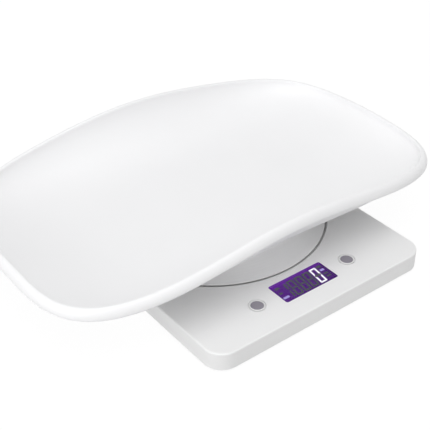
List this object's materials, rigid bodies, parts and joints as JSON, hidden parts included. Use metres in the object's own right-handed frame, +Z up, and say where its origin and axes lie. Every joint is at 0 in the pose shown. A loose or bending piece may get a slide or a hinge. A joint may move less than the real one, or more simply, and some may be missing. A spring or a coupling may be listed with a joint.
{
  "type": "digital baby scale",
  "caption": "Low table scale for weighing babies: a flat casing with a display and push buttons, a round weighing pan and a long shallow lift-off tray.",
  "frame": {"origin": "on the table, under the middle of the scale's outline seen from above", "axes": "+Z up, -Y towards the front, where the display and buttons are, +X to the right along the tray's length"},
  "size_m": [0.357, 0.2466, 0.0753],
  "materials": {
    "white_shell": "moulded ABS with a soft gloss",
    "tray_plastic": "moulded ABS with a soft gloss",
    "pan_plastic": "moulded ABS with a soft gloss",
    "inner_plastic": "moulded, matt",
    "button_plastic": "satin grey moulding",
    "grip_rubber": "matt pale rubber",
    "foot_rubber": "matt grey rubber",
    "cell_aluminium": "milled",
    "sealant": "silicone sealant",
    "zinc_steel": "zinc plated",
    "nickel_steel": "nickel plated",
    "lens_plastic": "clear gloss acrylic",
    "lcd_purple": "dark violet liquid crystal glass",
    "lit_white": "lit, pale",
    "dark_green": "unlit segments, dull green",
    "light_guide": "moulded acrylic light guide",
    "contact_rubber": "striped conductive rubber",
    "board_green": "solder resist on glass fibre",
    "black_resin": "cast resin",
    "part_plastic": "small moulded parts",
    "switch_plastic": "moulded, matt",
    "battery_wrap": "printed film over a steel can, left plain",
    "lead_red": "PVC insulation",
    "lead_grey": "PVC sheath"
  },
  "bodies": {
    "base": {"load_cell_bar": "cell_aluminium", "strain_gauges": "sealant", "load_cell_spacer": "zinc_steel", "load_cell_screws": "zinc_steel", "top_cover": "white_shell", "bottom_cover": "white_shell", "casing_screws": "zinc_steel", "foot_front_left": "foot_rubber", "foot_front_right": "foot_rubber", "foot_back_left": "foot_rubber", "foot_back_right": "foot_rubber", "display_lens": "lens_plastic", "lcd_glass": "lcd_purple", "lit_segments": "lit_white", "dark_segments": "dark_green", "backlight": "light_guide", "display_holder": "inner_plastic", "contact_strips": "contact_rubber", "circuit_board": "board_green", "board_screws": "zinc_steel", "controller_blob": "black_resin", "board_components": "part_plastic", "left_switch": "switch_plastic", "right_switch": "switch_plastic", "left_bezel": "white_shell", "right_bezel": "white_shell", "front_battery": "battery_wrap", "rear_battery": "battery_wrap", "battery_springs": "nickel_steel", "battery_plates": "nickel_steel", "battery_leads": "lead_red", "load_cell_leads": "lead_grey"},
    "pan_platform": {"weighing_pan": "pan_plastic", "pan_carrier": "inner_plastic", "carrier_spacer": "zinc_steel", "carrier_screws": "zinc_steel"},
    "baby_tray": {"tray": "tray_plastic", "grip_ring": "grip_rubber"},
    "left_key": {"left_button": "button_plastic", "left_plunger": "button_plastic"},
    "right_key": {"right_button": "button_plastic", "right_plunger": "button_plastic"},
    "battery_lid": {"battery_door": "white_shell"}
  },
  "joints": [
    {"name": "pan_press", "type": "slide", "parent": "base", "child": "pan_platform", "axis": [0, 0, 1], "range_m": [-0.0006, 0], "stiffness_N_per_m": 100000, "springref_m": 0.00004, "deforming": ["load_cell_bar"]},
    {"name": "tray_lift", "type": "slide", "parent": "pan_platform", "child": "baby_tray", "axis": [0, 0, 1], "range_m": [0, 0.06]},
    {"name": "left_button_press", "type": "slide", "parent": "base", "child": "left_key", "axis": [0, 0, 1], "range_m": [-0.0005, 0], "stiffness_N_per_m": 1500, "springref_m": 0.0002},
    {"name": "right_button_press", "type": "slide", "parent": "base", "child": "right_key", "axis": [0, 0, 1], "range_m": [-0.0005, 0], "stiffness_N_per_m": 1500, "springref_m": 0.0002},
    {"name": "battery_door_swing", "type": "hinge", "parent": "base", "child": "battery_lid", "pos_m": [0.0055, 0.04825, 0.004], "axis": [-1, 0, 0], "range_deg": [0, 75]}
  ]
}
